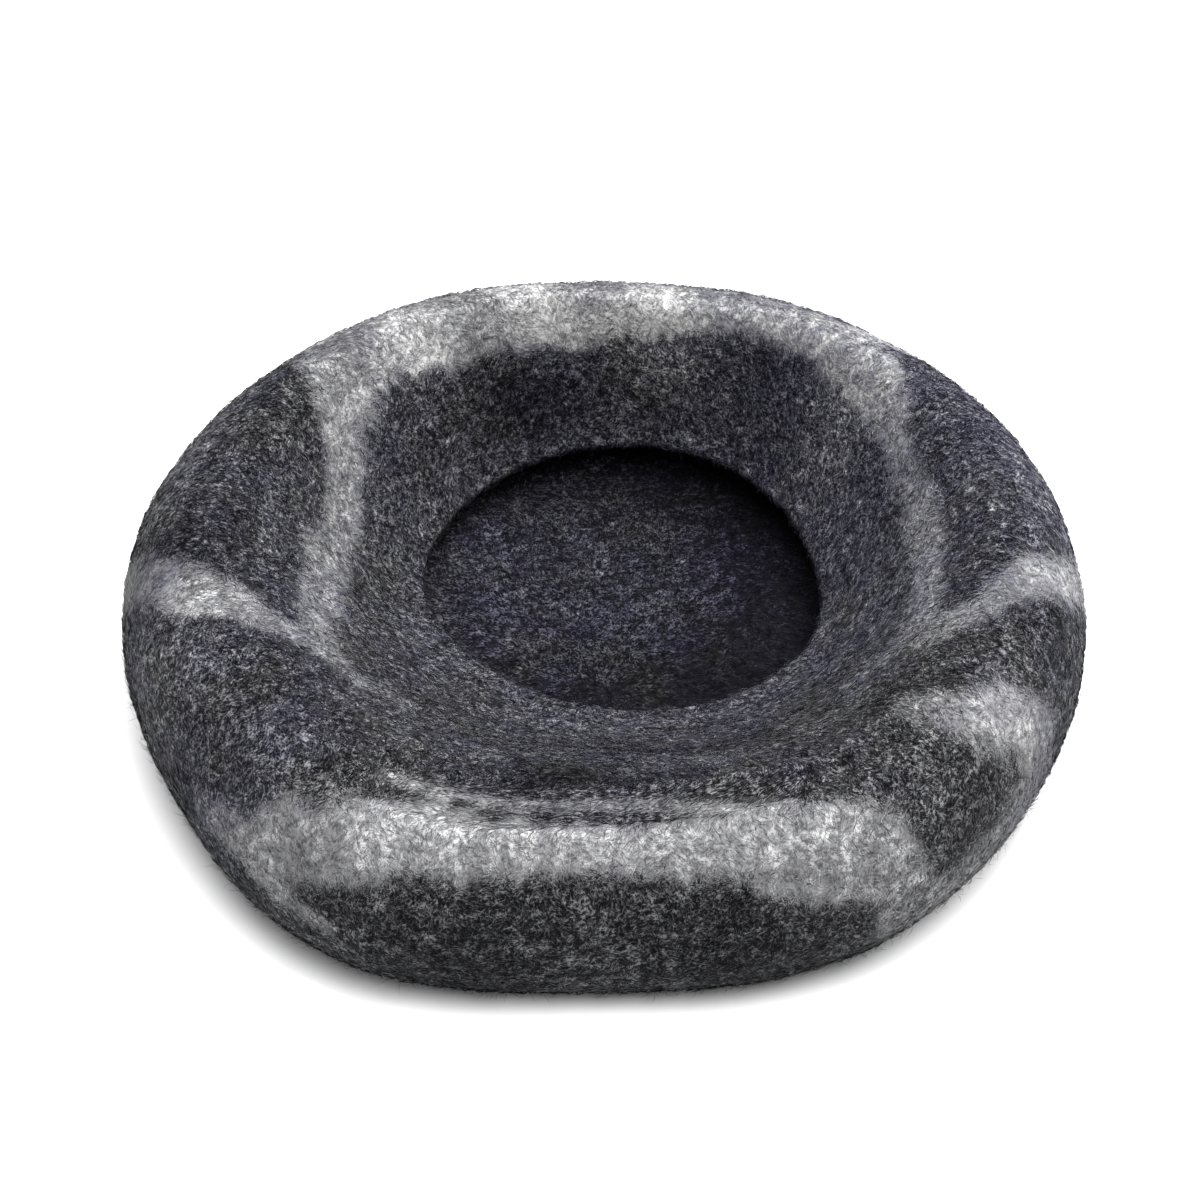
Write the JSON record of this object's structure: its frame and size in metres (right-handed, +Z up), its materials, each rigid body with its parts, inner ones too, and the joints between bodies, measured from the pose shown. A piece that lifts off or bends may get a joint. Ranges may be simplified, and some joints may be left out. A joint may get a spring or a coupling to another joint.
{
  "type": "felt cat cave",
  "caption": "Seamless felted wool pet cave pushed in to lie as a round double-walled bed, its entrance hole low inside towards the back.",
  "frame": {"origin": "on the floor, at the middle of the bed's outline", "axes": "+Z up from the flat base, +Y towards the higher back rim that the entrance hole lies near, +X to the right of someone who looks from the low front rim"},
  "size_m": [0.5234, 0.508, 0.1424],
  "materials": {
    "charcoal_felt": "matted wool felt, charcoal with pale grey bands felted in"
  },
  "bodies": {
    "root": {"felt_shell": "charcoal_felt"}
  },
  "joints": []
}
